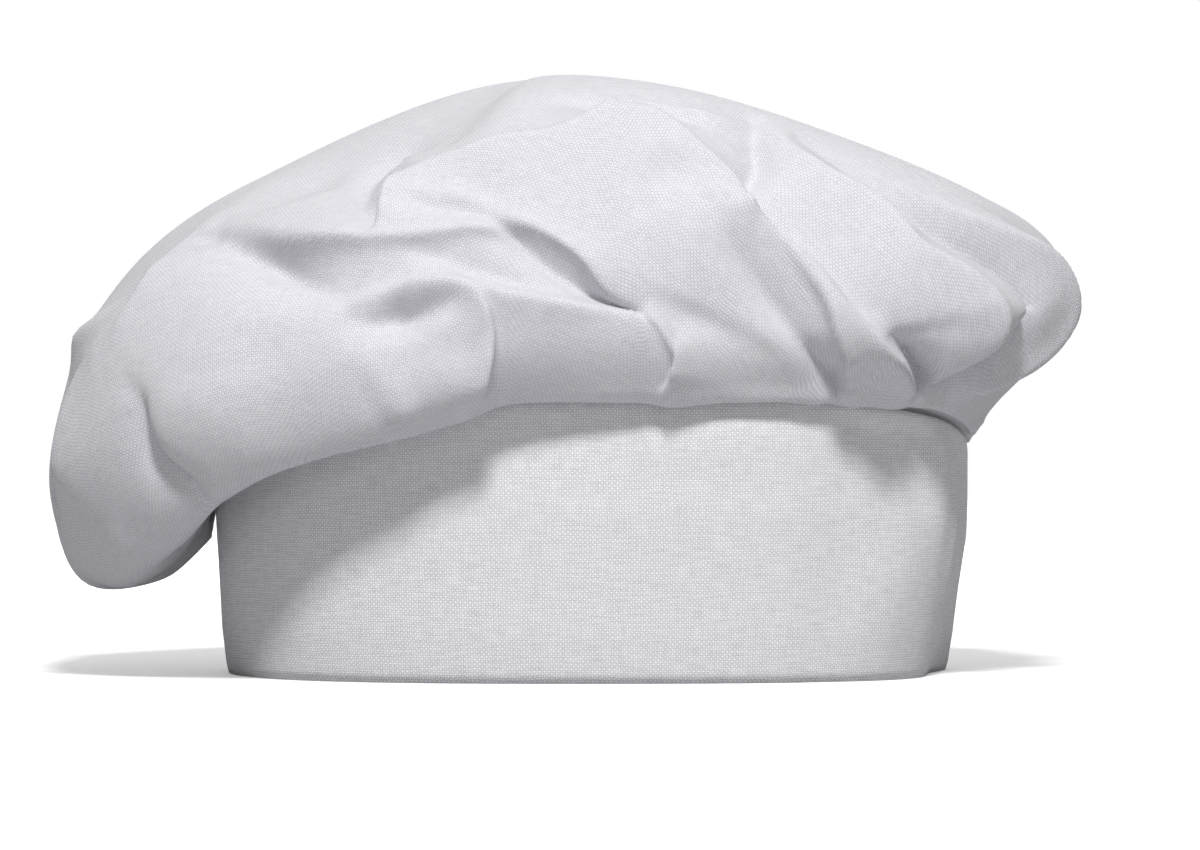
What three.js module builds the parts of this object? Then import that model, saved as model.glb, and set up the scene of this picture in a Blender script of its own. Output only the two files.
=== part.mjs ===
// A soft white cloth cap: an upright oval band with a wide crown gathered into its top edge.
// The crown sags over the band on the left and stands out past it on the right.
// Millimetres. X to the right, Y to the back, Z up, the band's lower rim at the bottom.
import * as THREE from 'three';

// Sizes of the band
const BAND_LONG = 198;
const BAND_WIDE = 160;
// How flat the oval's sides are: 2 is an even oval
const BAND_FULLNESS = 2.5;
const BAND_WALL = 2.4;
const BAND_EDGE_WALL = 1.2;
const BAND_AROUND = 80;

// The band's face from the lower rim up: share of the height, and how far out from the full oval
const BAND_PROFILE = [
  { share: 0, out: -3.4 },
  { share: 0.012, out: -2.8 },
  { share: 0.16, out: -1.5 },
  { share: 0.6, out: 0.3 },
  { share: 0.988, out: 0 },
  { share: 1, out: -0.4 },
];

// Soft hollows in the band where the cloth puckers below the gathers and turns in at the rim
const BAND_HOLLOWS = [
  { azimuth: 316, share: 0.76, depth: 2.6, spreadDegrees: 7, spreadShare: 0.32 },
  { azimuth: 341, share: 0.82, depth: 1.6, spreadDegrees: 7, spreadShare: 0.3 },
  { azimuth: 345, share: 0, depth: 6.5, spreadDegrees: 17, spreadShare: 0.4 },
  { azimuth: 214, share: 0.35, depth: 1.2, spreadDegrees: 12, spreadShare: 0.4 },
  { azimuth: 95, share: 0.6, depth: 1.4, spreadDegrees: 14, spreadShare: 0.5 },
];
// Share of the height over which the hollows fade out towards the seam
const HOLLOW_FADE = 0.1;

// Sizes of the crown
const CROWN_WALL = 1.8;
const CROWN_AROUND = 96;
const CROWN_ROWS = 25;
const SEAM_CROWDING = 1.35;
const SECTION_SAMPLES = 260;
const POLE_X = -12;
const POLE_Y = 4;
const POLE_Z = 157;

// How the crown's mouth sits in the band
const MOUTH_INSET = 3.2;
const TUCK_DEPTH = 6;
const SEAM_RISE = 0.6;
const COVER_OUT = 0.8;
const COVER_RISE = 1.6;
const BESIDE_BAND = 1.8;

// Sections of the crown, one row for each direction from the pole to the band.
// seam is the height of the band's top edge. The pairs after it are the points of the section:
// how far out past the band's face, and how high above the lower rim.
const SECTION_COLUMNS = [
  'azimuth', 'seam', 'neckOut', 'neckZ', 'underOut', 'underZ', 'reachOut', 'reachZ',
  'shoulderOut', 'shoulderZ', 'domeOut', 'domeZ',
];
const SECTIONS = [
  [0, 59, 0.5, 61, -0.5, 70, 24.5, 97, 12, 120, -38, 139],
  [25, 61, 0.5, 63, -0.3, 69, 26.9, 95, 7.4, 120, -39.6, 138],
  [60, 64, 5, 65, 12.3, 68, 34.6, 92, 7.6, 122, -35.4, 143],
  [90, 66, 5, 67, 17.5, 68, 42.9, 90, 12.9, 123, -29.1, 147],
  [120, 68, 5, 68, 17.6, 64, 41.1, 86, 11.1, 120, -32.9, 142.5],
  [150, 70, 7, 68, 20, 49, 41.9, 75, 17.9, 111, -26.1, 135.5],
  [170, 71, 4, 44, 31, 26.5, 44.1, 58, 27, 99, -10.9, 129.5],
  [185, 71, 4, 40, 33, 25.5, 43.8, 54, 28, 99, -8.2, 128.5],
  [200, 71, 4, 44, 26, 24.5, 41.5, 56, 24.5, 100, -13.5, 129.5],
  [215, 71, 8, 65, 22, 35, 37.5, 63, 18.8, 105, -20.2, 131.5],
  [230, 71, 8, 66, 23, 51, 34, 75, 12.9, 111, -25.1, 134.5],
  [245, 71, 6, 69, 17.5, 61.5, 25, 83, 8.6, 115, -25.4, 139.5],
  [257, 71, 4, 70, 10, 70.5, 16, 86, 6.6, 117, -24.4, 147],
  [275, 71, 3, 70, 7, 73, 11, 87, 3.6, 119, -25.4, 149],
  [300, 71, 3, 70, 5, 74, 13, 89, -2.3, 123, -31.3, 147],
  [325, 67, 3, 68, 7, 73, 29, 93, 9, 122, -33, 141.5],
  [345, 62, 0.5, 63, 4, 70, 25, 97, 8.3, 122, -37.7, 138.5],
];

// Folds of the crown, one row each. The path is given in azimuth and rise, where rise is 0 at
// the band and 1 at the pole. Height is at the start, the middle and the end of the path, and
// a valley has a height below 0. Width is how far the fold reaches to each side, at the start
// and the end. A lean above 0 widens the left-hand side of travel. Lap carries the crest over
// to the right-hand side.
const FOLD_COLUMNS = ['name', 'path', 'height', 'width', 'lean', 'rounding', 'lap'];
const FOLDS = [
  ['lobe edge', [[242, 0.33], [245.5, 0.315], [249, 0.295], [252, 0.265], [254.5, 0.23],
      [255.5, 0.185], [254.5, 0.145]],
    [3, 10, 8], [8, 9], -0.6, 0.8, -3.5],
  ['lobe dent', [[242.5, 0.305], [244.5, 0.29], [246.5, 0.28], [248, 0.265], [250, 0.255], [252, 0.245]],
    [-3, -9, -5], [4.5, 4], 0, 0.8, 0],
  ['lobe bulge', [[243.5, 0.295], [246, 0.275], [248, 0.25], [250, 0.22], [252, 0.2]],
    [1, 4, 1], [8, 10], 0.3, 2, 0],
  ['lobe side fold', [[255, 0.195], [253.5, 0.195], [252.5, 0.2], [251, 0.195], [250, 0.19]],
    [-2, -2, 0], [4, 6], 0, 1, 0],
  ['lobe crease', [[217, 0.355], [219, 0.33], [219, 0.3], [219.5, 0.275], [221, 0.245], [222.5, 0.22],
      [222.5, 0.19]],
    [-1, -7, -4], [2.2, 4.2], -0.35, 0.4, 0],
  ['lobe swell', [[215, 0.365], [217.5, 0.335], [218, 0.305], [219, 0.27], [220.5, 0.24], [222, 0.205]],
    [0, 2.5, 1], [6, 6], -0.5, 0.8, 0],
  ['lobe hem', [[205, 0.33], [204.5, 0.29], [207, 0.255], [209.5, 0.23], [212.5, 0.21], [215, 0.19]],
    [1, 4, 1], [10, 9], 0.5, 1, 0],
  ['left ridge', [[212.5, 0.565], [213, 0.53], [215, 0.495], [215, 0.46], [213, 0.425], [209.5, 0.42]],
    [3, 8, 7], [16, 16], 0.6, 0.8, 4],
  ['left limb', [[205, 0.415], [204.5, 0.38], [203.5, 0.35], [201, 0.34], [198, 0.32]],
    [6, 7, 3], [20, 16], 0.5, 1.5, 0],
  ['upper ridge', [[214.5, 0.56], [224.5, 0.515], [233, 0.465], [241, 0.425], [249, 0.385], [257, 0.35]],
    [4, 9, 6], [11, 6], 0.4, 0.3, 3],
  ['upper valley', [[218, 0.535], [225, 0.49], [231, 0.445], [236, 0.395], [241, 0.345]],
    [-3, -8, -3], [5, 7], 0, 1, 0],
  ['corner edge', [[244.5, 0.485], [244.5, 0.45], [244, 0.42]],
    [7, 7, 4], [12, 9], 0.75, 0.6, 4],
  ['corner valley', [[243.5, 0.43], [239.5, 0.495], [235.5, 0.565], [231.5, 0.64], [234.5, 0.685],
      [244.5, 0.635]],
    [-2, -6, -2], [5, 8], 0, 1, 0],
  ['corner crest', [[243.5, 0.5], [248, 0.51], [253, 0.49], [258.5, 0.48], [264, 0.47], [269, 0.475],
      [274.5, 0.49]],
    [5, 7, 8], [14, 16], -0.65, 0.6, -3],
  ['above the roll', [[246, 0.505], [250.5, 0.465], [255, 0.425], [259, 0.385], [263, 0.35], [267, 0.32]],
    [-1, -3, -2], [5, 6], 0, 1.2, 0],
  ['roll valley', [[246.5, 0.46], [251.5, 0.41], [257.5, 0.37], [261, 0.31], [265, 0.26],
      [269.5, 0.22], [274.5, 0.2]],
    [-2, -5, -5], [3.5, 3], 0, 0.6, 0],
  ['roll crest', [[245.5, 0.475], [252, 0.43], [257.5, 0.375], [263, 0.335], [268, 0.29],
      [271.5, 0.23], [276.5, 0.19], [280, 0.14]],
    [4, 7, 5], [9, 6], 0.6, 0.6, 2.5],
  ['lower panel swell', [[268, 0.31], [273, 0.265], [278.5, 0.23], [283.5, 0.2], [288.5, 0.17],
      [293.5, 0.145]],
    [1, 4, 2], [9, 8], 0.5, 0.8, 1],
  ['under the panel', [[270.5, 0.255], [277, 0.21], [284, 0.17], [290.5, 0.135], [296.5, 0.1]],
    [0, -3, -1], [7, 7], 0, 1.5, 0],
  ['front lower crest', [[245, 0.395], [250, 0.32], [254.5, 0.255], [261, 0.22], [267.5, 0.2],
      [274, 0.185]],
    [2, 8.5, 7], [10, 8], -0.4, 0.3, -2],
  ['above the lower crest', [[247.5, 0.375], [252.5, 0.315], [257.5, 0.265], [263.5, 0.235],
      [269.5, 0.215]],
    [-1, -3, -1], [3, 3], 0, 0.6, 0],
  ['front pleat', [[281, 0.14], [280.5, 0.11], [280, 0.085]],
    [5, 5.5, 4], [7, 6], 0.85, 0.5, 3],
  ['panel crest high', [[274.5, 0.49], [279.5, 0.485], [283, 0.45], [285.5, 0.41], [287.5, 0.37],
      [287.5, 0.325]],
    [8, 8, 9], [18, 16], -0.65, 0.6, -4],
  ['panel crest low', [[287.5, 0.32], [292.5, 0.275], [297, 0.23], [300.5, 0.17], [305, 0.14],
      [309.5, 0.11], [313.5, 0.07]],
    [9, 8, 4.5], [15, 5], -0.65, 0.4, -5],
  ['panel valley', [[282, 0.355], [284.5, 0.29], [288.5, 0.24], [292, 0.19], [295.5, 0.14],
      [299.5, 0.1], [303.5, 0.07]],
    [-1, -5, -4.5], [6, 3], 0.2, 0.4, 0],
  ['second pleat', [[291, 0.305], [294, 0.255], [297, 0.205], [299, 0.155], [302, 0.11], [304.5, 0.065]],
    [1, 7.5, 5], [4.5, 3.8], 0.6, 0.3, 1],
  ['panel dent', [[278.5, 0.44], [279.5, 0.415], [280.5, 0.385], [281.5, 0.355], [282, 0.325]],
    [0, -2, 0], [5, 6], 0, 1.5, 0],
  ['third pleat valley', [[304.5, 0.19], [307.5, 0.15], [310.5, 0.12], [314, 0.095], [317, 0.07]],
    [-1, -6, -4.5], [4, 3], 0.45, 0.4, 0],
  ['third pleat', [[314.5, 0.135], [316.5, 0.1], [318.5, 0.065]],
    [3, 5, 5], [5, 3.5], 0.3, 0.6, 2],
  ['upright crease', [[301, 0.53], [298, 0.48], [296, 0.43], [292.5, 0.385], [289.5, 0.34]],
    [-6, -8, -2], [8, 5], -0.3, 0.5, 0],
  ['right panel crest', [[302, 0.525], [301.5, 0.455], [304.5, 0.39], [308.5, 0.34], [310.5, 0.27],
      [315.5, 0.235], [318.5, 0.19], [316, 0.125]],
    [4, 8, 5], [16, 8], -0.5, 0.8, -3],
  ['right panel valley', [[306, 0.48], [312, 0.38], [319, 0.325], [326, 0.28], [329, 0.215],
      [326, 0.15], [321, 0.085]],
    [-1, -9, -9], [5, 4.5], 0, 0.8, 0],
  ['right rim crest', [[310, 0.45], [320, 0.375], [329, 0.32], [336, 0.265], [339, 0.21], [335, 0.15],
      [328, 0.085]],
    [1, 5, 4.5], [5, 4], 0, 0.6, 0],
  ['top crest', [[268.5, 0.63], [276, 0.61], [282, 0.585], [287.5, 0.55], [293.5, 0.525], [299.5, 0.525]],
    [1, 4, 3], [9, 9], -0.5, 0.6, -2],
  ['top valley', [[266, 0.6], [272.5, 0.585], [279, 0.585], [284, 0.555], [288.5, 0.52], [293.5, 0.5]],
    [-2, -6, -3], [7, 7], 0, 1, 0],
  ['top hollow', [[207, 0.645], [222.5, 0.635], [233.5, 0.555]],
    [0, -4, 0], [14, 16], 0, 3, 0],
  ['lobe hollow', [[230, 0.39], [232.5, 0.34], [234, 0.29], [233, 0.235], [230.5, 0.195]],
    [0, -2.5, 0], [12, 14], 0, 4, 0],
  ['lobe under crest', [[244.5, 0.165], [247, 0.165], [249.5, 0.16]],
    [2, 4, 3], [10, 9], 0.3, 2, 0],
  ['lobe underside', [[166, 0.19], [173, 0.19], [180, 0.19], [187, 0.19], [194, 0.19]],
    [2, 5, 2], [12, 12], 0, 4, 0],
  ['left shoulder', [[184, 0.475], [189.5, 0.48], [195.5, 0.485], [201.5, 0.495], [207, 0.51]],
    [1, 5, 1], [6, 6], 0, 1, 0],
  ['left notch', [[186, 0.43], [192, 0.43], [198, 0.43], [204, 0.43], [210, 0.44]],
    [-1, -4, -1], [3, 3], 0, 0.6, 0],
];

// Gathers on the sides that the picture hides, spaced evenly along the band
const GATHER_FIRST = 352;
const GATHER_STEP = 15.5;
const GATHER_COUNT = 13;
const GATHER_DRIFT = 5;
const GATHER_HEIGHT = 3.4;
const GATHER_WIDTH = 7;
const GATHER_WIDENING = 1.6;
const GATHER_LEAN = 0.3;
const GATHER_ROUNDING = 1.5;
const GATHER_LAP = 1.5;
const GATHER_START = 0.05;
const GATHER_REACHES = [0.34, 0.52, 0.28, 0.6];
const DEEP_VALLEY_HEIGHT = -4.5;
const DEEP_VALLEY_WIDENING = 2.2;
const DEEP_VALLEY_ROUNDING = 3;
const DEEP_VALLEY_CLIMB = 0.22;

// How finely the folds are laid on
const PATH_STEPS = 32;
const LEAST_WIDTH = 7.5;
const MERGING = 3;
const SEAM_HOLD = 0.05;
const POLE_HOLD = 0.03;
const FACING_RANGE = 0.6;
const FOLD_RANGE = 60;
const LAP_SHARE = 0.4;
const EVENING_PASSES = 2;
const EVENING_SHARE = 0.35;

const CLOTH_COLOUR = 0xd7d5da;
const CLOTH_ROUGHNESS = 0.92;

const DEGREE = Math.PI / 180;
const FULL_TURN = 360;

// Curves

function hermite(p0, p1, slope0, slope1, length, t) {
  const t2 = t * t;
  const t3 = t2 * t;
  return (
    (2 * t3 - 3 * t2 + 1) * p0 +
    (t3 - 2 * t2 + t) * length * slope0 +
    (3 * t2 - 2 * t3) * p1 +
    (t3 - t2) * length * slope1
  );
}

function ease(t) {
  const held = THREE.MathUtils.clamp(t, 0, 1);
  return held * held * (3 - 2 * held);
}

// The section at any azimuth, by a smooth closed curve through the rows of the table.
function sectionAt(azimuth) {
  const count = SECTIONS.length;
  const row = (index) => {
    const turns = Math.floor(index / count);
    const values = SECTIONS[index - turns * count];
    return { at: values[0] + turns * FULL_TURN, values };
  };
  let index = count - 1;
  while (index > 0 && SECTIONS[index][0] > azimuth) index -= 1;
  const [before, first, second, after] = [row(index - 1), row(index), row(index + 1), row(index + 2)];
  const span = second.at - first.at;
  const t = (azimuth - first.at) / span;
  const section = {};
  SECTION_COLUMNS.forEach((name, column) => {
    if (column === 0) return;
    const slope0 = (second.values[column] - before.values[column]) / (second.at - before.at);
    const slope1 = (after.values[column] - first.values[column]) / (after.at - first.at);
    section[name] = hermite(first.values[column], second.values[column], slope0, slope1, span, t);
  });
  return section;
}

// How far the oval's flattened sides carry its corners outside an even oval.
function fullness(azimuth) {
  const along = Math.abs(Math.cos(azimuth * DEGREE)) ** BAND_FULLNESS;
  const across = Math.abs(Math.sin(azimuth * DEGREE)) ** BAND_FULLNESS;
  return (along + across) ** (-1 / BAND_FULLNESS);
}

function bandPoint(azimuth, out) {
  const angle = azimuth * DEGREE;
  const full = fullness(azimuth);
  return new THREE.Vector2(
    (BAND_LONG / 2 + out) * full * Math.cos(angle),
    (BAND_WIDE / 2 + out) * full * Math.sin(angle),
  );
}

// The crown before its folds

// Points of one section from the crown's mouth up to the pole, spaced by row.
function crownLine(azimuth, riseOfRow) {
  const section = sectionAt(azimuth);
  const pole = new THREE.Vector2(POLE_X, POLE_Y);
  const way = bandPoint(azimuth, 0).sub(pole);
  const bandRadius = way.length();
  way.normalize();
  const knots = [
    [bandRadius - MOUTH_INSET, section.seam - TUCK_DEPTH],
    [bandRadius - MOUTH_INSET, section.seam + SEAM_RISE],
    [bandRadius + COVER_OUT, section.seam + COVER_RISE],
    [bandRadius + section.neckOut, section.neckZ],
    [bandRadius + section.underOut, section.underZ],
    [bandRadius + section.reachOut, section.reachZ],
    [bandRadius + section.shoulderOut, section.shoulderZ],
    [bandRadius + section.domeOut, section.domeZ],
    [0, POLE_Z],
    [-(bandRadius + section.domeOut), section.domeZ],
  ].map(([radius, height]) => new THREE.Vector3(radius, height, 0));
  const line = new THREE.CatmullRomCurve3(knots, false, 'centripetal');
  const spans = knots.length - 1;
  const seamAt = 1 / spans;
  const poleAt = (spans - 1) / spans;
  const samples = [];
  const lengths = [0];
  for (let i = 0; i <= SECTION_SAMPLES; i += 1) {
    samples.push(line.getPoint(seamAt + ((poleAt - seamAt) * i) / SECTION_SAMPLES));
    if (i > 0) lengths.push(lengths[i - 1] + samples[i].distanceTo(samples[i - 1]));
  }
  const place = (radius, height) => new THREE.Vector3(
    POLE_X + radius * way.x,
    POLE_Y + radius * way.y,
    height,
  );
  const points = riseOfRow.map((rise) => {
    const wanted = rise * lengths[SECTION_SAMPLES];
    let i = 1;
    while (i < SECTION_SAMPLES && lengths[i] < wanted) i += 1;
    const t = (wanted - lengths[i - 1]) / (lengths[i] - lengths[i - 1]);
    const sample = samples[i - 1].clone().lerp(samples[i], t);
    return place(sample.x, sample.y);
  });
  return { mouth: place(knots[0].x, knots[0].y), points };
}

// Outward normals of a grid of points, closed all round, with the pole in its last row.
function gridNormals(grid) {
  const around = grid.length;
  const rows = grid[0].length;
  const normals = grid.map((line, i) => line.map((point, j) => {
    const next = grid[(i + 1) % around][j];
    const last = grid[(i + around - 1) % around][j];
    const above = line[Math.min(j + 1, rows - 1)];
    const below = line[Math.max(j - 1, 0)];
    return next.clone().sub(last).cross(above.clone().sub(below)).normalize();
  }));
  const top = new THREE.Vector3();
  normals.forEach((line) => top.add(line[rows - 2]));
  top.normalize();
  normals.forEach((line) => line[rows - 1].copy(top));
  return normals;
}

// Position and normal on a grid at any azimuth and rise.
function surfaceAt(grid, normals, riseOfRow, azimuth, rise) {
  const around = grid.length;
  const turn = (((azimuth % FULL_TURN) + FULL_TURN) % FULL_TURN / FULL_TURN) * around;
  const i = Math.floor(turn) % around;
  const i2 = (i + 1) % around;
  const across = turn - Math.floor(turn);
  let j = 0;
  while (j < riseOfRow.length - 2 && riseOfRow[j + 1] < rise) j += 1;
  const up = THREE.MathUtils.clamp((rise - riseOfRow[j]) / (riseOfRow[j + 1] - riseOfRow[j]), 0, 1);
  const blend = (field) => {
    const low = field[i][j].clone().lerp(field[i2][j], across);
    const high = field[i][j + 1].clone().lerp(field[i2][j + 1], across);
    return low.lerp(high, up);
  };
  return { position: blend(grid), normal: blend(normals).normalize() };
}

// Folds

function namedFold(row) {
  const fold = {};
  FOLD_COLUMNS.forEach((name, column) => {
    fold[name] = row[column];
  });
  return fold;
}

// Gathers round the hidden sides, each a low crest that climbs from the seam and drifts sideways.
function gathers() {
  const folds = [];
  for (let k = 0; k < GATHER_COUNT; k += 1) {
    const azimuth = GATHER_FIRST + k * GATHER_STEP;
    const reach = GATHER_REACHES[k % GATHER_REACHES.length];
    const drift = k % 2 === 0 ? GATHER_DRIFT : -GATHER_DRIFT;
    const middle = (GATHER_START + reach) / 2;
    const path = [[azimuth, GATHER_START], [azimuth + drift / 2, middle], [azimuth + drift, reach]];
    const height = [GATHER_HEIGHT, GATHER_HEIGHT, 0];
    const width = [GATHER_WIDTH, GATHER_WIDTH * GATHER_WIDENING];
    folds.push({
      name: 'gather',
      path,
      height,
      width,
      lean: GATHER_LEAN,
      rounding: GATHER_ROUNDING,
      lap: GATHER_LAP,
    });
    if (k % 3 === 1) {
      const valleyPath = [
        [azimuth + GATHER_STEP / 2, GATHER_START],
        [azimuth + GATHER_STEP / 2 - drift, reach],
        [azimuth + GATHER_STEP / 2 - 3 * drift, reach + DEEP_VALLEY_CLIMB],
      ];
      folds.push({
        name: 'gather valley',
        path: valleyPath,
        height: [DEEP_VALLEY_HEIGHT / 2, DEEP_VALLEY_HEIGHT, 0],
        width: [GATHER_WIDTH, GATHER_WIDTH * DEEP_VALLEY_WIDENING],
        lean: 0,
        rounding: DEEP_VALLEY_ROUNDING,
        lap: 0,
      });
    }
  }
  return folds;
}

// The fold's path on the unfolded crown, laid out as a disc with the pole in its middle.
function foldPath(fold, grid, normals, riseOfRow) {
  const disc = fold.path.map(([azimuth, rise]) => new THREE.Vector3(
    (1 - rise) * Math.cos(azimuth * DEGREE),
    (1 - rise) * Math.sin(azimuth * DEGREE),
    0,
  ));
  const curve = new THREE.CatmullRomCurve3(disc, false, 'catmullrom', 0.5);
  const stations = [];
  for (let k = 0; k <= PATH_STEPS; k += 1) {
    const spot = curve.getPoint(k / PATH_STEPS);
    const azimuth = Math.atan2(spot.y, spot.x) / DEGREE;
    stations.push(surfaceAt(grid, normals, riseOfRow, azimuth, 1 - Math.hypot(spot.x, spot.y)));
  }
  stations.forEach((station, k) => {
    const ahead = stations[Math.min(k + 1, PATH_STEPS)].position;
    const behind = stations[Math.max(k - 1, 0)].position;
    station.side = station.normal.clone().cross(ahead.clone().sub(behind)).normalize();
  });
  return stations;
}

function nearestOnPath(stations, point) {
  let best = { distance: Infinity };
  for (let k = 0; k < PATH_STEPS; k += 1) {
    const from = stations[k];
    const along = stations[k + 1].position.clone().sub(from.position);
    const away = point.clone().sub(from.position);
    const t = THREE.MathUtils.clamp(away.dot(along) / along.lengthSq(), 0, 1);
    away.addScaledVector(along, -t);
    const distance = away.length();
    if (distance < best.distance) {
      const side = from.side.clone().lerp(stations[k + 1].side, t);
      const normal = from.normal.clone().lerp(stations[k + 1].normal, t);
      best = { distance, away, side, normal, along: (k + t) / PATH_STEPS };
    }
  }
  return best;
}

function threeStep(values, t) {
  const [start, middle, end] = values;
  return t < 0.5 ? start + (middle - start) * ease(t * 2) : middle + (end - middle) * ease(t * 2 - 1);
}

// Moves every point of the grid by all folds together. Crests that meet merge instead of
// adding up, and so do valleys.
function foldedGrid(grid, riseOfRow, folds) {
  const normals = gridNormals(grid);
  const sums = grid.map((line) => line.map(() => ({ up: 0, down: 0, aside: new THREE.Vector3() })));
  folds.forEach((fold) => {
    const stations = foldPath(fold, grid, normals, riseOfRow);
    const tallest = Math.max(...fold.height.map(Math.abs));
    const reach = new THREE.Box3().setFromPoints(stations.map((station) => station.position));
    reach.expandByScalar(FOLD_RANGE);
    grid.forEach((line, i) => line.forEach((point, j) => {
      if (!reach.containsPoint(point)) return;
      const near = nearestOnPath(stations, point);
      const height = threeStep(fold.height, near.along);
      const drawn = fold.width[0] + (fold.width[1] - fold.width[0]) * near.along;
      const turn = near.distance > 0 ? near.away.dot(near.side) / near.distance : 0;
      const width = Math.max(drawn, LEAST_WIDTH) * (1 + fold.lean * turn);
      const rounded = Math.hypot(near.distance, fold.rounding) - fold.rounding;
      const facing = THREE.MathUtils.clamp(normals[i][j].dot(near.normal) / FACING_RANGE, 0, 1);
      const strength = Math.exp(-rounded / width) * facing;
      const sum = sums[i][j];
      sum.up += (Math.max(height, 0) * strength) ** MERGING;
      sum.down += (Math.max(-height, 0) * strength) ** MERGING;
      const lap = (fold.lap * LAP_SHARE * Math.max(height, 0)) / tallest;
      sum.aside.addScaledVector(near.side, -lap * strength);
    }));
  });
  return grid.map((line, i) => line.map((point, j) => {
    const hold = ease(riseOfRow[j] / SEAM_HOLD) * Math.min((1 - riseOfRow[j]) / POLE_HOLD, 1);
    const { up, down, aside } = sums[i][j];
    const height = up ** (1 / MERGING) - down ** (1 / MERGING);
    return point.clone().addScaledVector(normals[i][j], height * hold).addScaledVector(aside, hold);
  }));
}

// Moves each point a little towards the middle of its four neighbours.
function evened(grid) {
  const around = grid.length;
  const rows = grid[0].length;
  return grid.map((line, i) => line.map((point, j) => {
    if (j === 0 || j === rows - 1) return point.clone();
    const middle = grid[(i + 1) % around][j].clone().add(grid[(i + around - 1) % around][j]);
    middle.add(line[j + 1]).add(line[j - 1]).multiplyScalar(0.25);
    return point.clone().lerp(middle, EVENING_SHARE);
  }));
}

// Holds the hanging cloth a little way off the band.
function besideBand(point) {
  const along = point.x / (BAND_LONG / 2 + BESIDE_BAND);
  const across = point.y / (BAND_WIDE / 2 + BESIDE_BAND);
  const azimuth = Math.atan2(point.y / BAND_WIDE, point.x / BAND_LONG) / DEGREE;
  const reach = Math.hypot(along, across) / fullness(azimuth);
  const seam = sectionAt((azimuth + FULL_TURN) % FULL_TURN).seam;
  if (reach >= 1 || point.z > seam) return point;
  return new THREE.Vector3(point.x / reach, point.y / reach, point.z);
}

// Closed solids

// Rings of points, each closed all round. A lone point closes an end.
function solidFromRings(rings) {
  const positions = [];
  const starts = rings.map((ring) => {
    const start = positions.length / 3;
    ring.forEach((point) => positions.push(point.x, point.y, point.z));
    return start;
  });
  const faces = [];
  for (let r = 0; r + 1 < rings.length; r += 1) {
    const [low, high] = [rings[r], rings[r + 1]];
    const around = Math.max(low.length, high.length);
    for (let i = 0; i < around; i += 1) {
      const next = (i + 1) % around;
      const a = starts[r] + (low.length === 1 ? 0 : i);
      const b = starts[r] + (low.length === 1 ? 0 : next);
      const c = starts[r + 1] + (high.length === 1 ? 0 : next);
      const d = starts[r + 1] + (high.length === 1 ? 0 : i);
      const at = (index) => new THREE.Vector3().fromArray(positions, index * 3);
      if (low.length === 1) faces.push(a, c, d);
      else if (high.length === 1) faces.push(a, b, c);
      else if (at(a).distanceTo(at(c)) <= at(b).distanceTo(at(d))) faces.push(a, b, c, a, c, d);
      else faces.push(a, b, d, b, c, d);
    }
  }
  const geometry = new THREE.BufferGeometry();
  geometry.setAttribute('position', new THREE.Float32BufferAttribute(positions, 3));
  geometry.setIndex(faces);
  geometry.computeVertexNormals();
  return geometry;
}

function crownGeometry() {
  const riseOfRow = [];
  for (let j = 0; j <= CROWN_ROWS; j += 1) riseOfRow.push((j / CROWN_ROWS) ** SEAM_CROWDING);
  const lines = [];
  for (let i = 0; i < CROWN_AROUND; i += 1) {
    lines.push(crownLine((i * FULL_TURN) / CROWN_AROUND, riseOfRow));
  }
  const plain = lines.map((line) => line.points);
  let grid = foldedGrid(plain, riseOfRow, FOLDS.map(namedFold).concat(gathers()));
  for (let pass = 0; pass < EVENING_PASSES; pass += 1) grid = evened(grid);
  grid = grid.map((line) => line.map((point, j) => (j < 2 ? point : besideBand(point))));
  const pole = grid[0][CROWN_ROWS];
  const outside = grid.map((line, i) => [lines[i].mouth, ...line]);
  const normals = gridNormals(outside);
  const inside = outside.map((line, i) => line.map((point, j) => (
    point.clone().addScaledVector(normals[i][j], -CROWN_WALL)
  )));
  inside.forEach((line, i) => {
    line[0].z = lines[i].mouth.z;
  });
  const rings = [];
  for (let j = 0; j < CROWN_ROWS + 1; j += 1) rings.push(outside.map((line) => line[j]));
  rings.push([pole]);
  const innerRings = [];
  for (let j = 0; j < CROWN_ROWS + 1; j += 1) innerRings.push(inside.map((line) => line[j]));
  const innerPole = pole.clone().addScaledVector(normals[0][CROWN_ROWS + 1], -CROWN_WALL);
  const shell = [[innerPole], ...innerRings.reverse(), ...rings];
  return solidFromRings(shell);
}

function bandGeometry() {
  const ring = (share, out, wall) => {
    const points = [];
    for (let i = 0; i < BAND_AROUND; i += 1) {
      const azimuth = (i * FULL_TURN) / BAND_AROUND;
      const { seam } = sectionAt(azimuth);
      let hollow = 0;
      BAND_HOLLOWS.forEach((row) => {
        const turn = (azimuth - row.azimuth + FULL_TURN * 1.5) % FULL_TURN - FULL_TURN / 2;
        const along = turn / row.spreadDegrees;
        const up = (share - row.share) / row.spreadShare;
        hollow += row.depth * Math.exp(-(along * along + up * up));
      });
      const held = hollow * ease((1 - share) / HOLLOW_FADE);
      const spot = bandPoint(azimuth, out - wall - held);
      points.push(new THREE.Vector3(spot.x, spot.y, share * seam));
    }
    return points;
  };
  const face = BAND_PROFILE.map((row) => ring(row.share, row.out, 0));
  const rows = BAND_PROFILE.length;
  const back = BAND_PROFILE.map((row, k) => {
    const thin = k === 0 || k === rows - 1 ? BAND_EDGE_WALL : BAND_WALL;
    return ring(row.share, row.out, thin);
  });
  return solidFromRings([...face, ...back.reverse(), face[0]]);
}

// The object

const hat = new THREE.Group();
hat.name = 'hat';

function addPiece(name, geometry) {
  const cloth = new THREE.MeshStandardMaterial({
    color: CLOTH_COLOUR,
    roughness: CLOTH_ROUGHNESS,
    metalness: 0,
  });
  const mesh = new THREE.Mesh(geometry, cloth);
  mesh.name = name;
  hat.add(mesh);
}

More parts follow.
